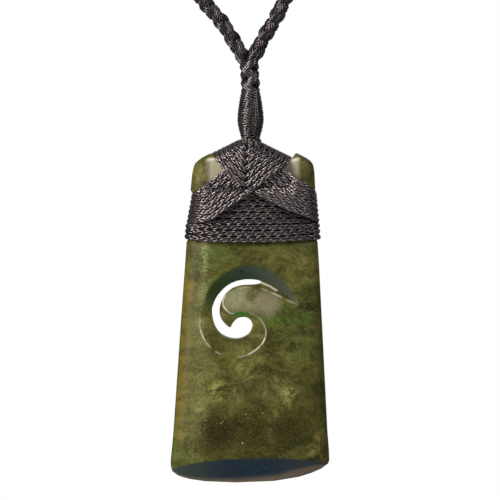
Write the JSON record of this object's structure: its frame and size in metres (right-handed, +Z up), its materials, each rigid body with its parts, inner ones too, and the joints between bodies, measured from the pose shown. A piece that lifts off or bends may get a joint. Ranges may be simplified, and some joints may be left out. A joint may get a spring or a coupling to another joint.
{
  "type": "greenstone adze pendant on a plaited neck cord",
  "caption": "Flat green stone shaped like an adze blade with a koru slot cut through, lashed with waxed cord and hung on a plaited cord worn round the neck.",
  "frame": {"origin": "the point on the nape where the closure barrel rests", "axes": "+Z up, -Y the front that the stone faces, +X to the right of a viewer in front"},
  "size_m": [0.1308, 0.1298, 0.224],
  "materials": {
    "greenstone": "polished, mottled olive green, faintly translucent",
    "waxed_cord": "black-brown waxed braided cord with a soft sheen",
    "barrel": "plain black, satin"
  },
  "bodies": {
    "root": {"stone": "greenstone", "lashing_level": "waxed_cord", "lashing_left": "waxed_cord", "lashing_right": "waxed_cord", "whipping": "waxed_cord", "stem_plait": "waxed_cord", "plait_left": "waxed_cord", "plait_right": "waxed_cord", "nape_barrel": "barrel"}
  },
  "joints": []
}
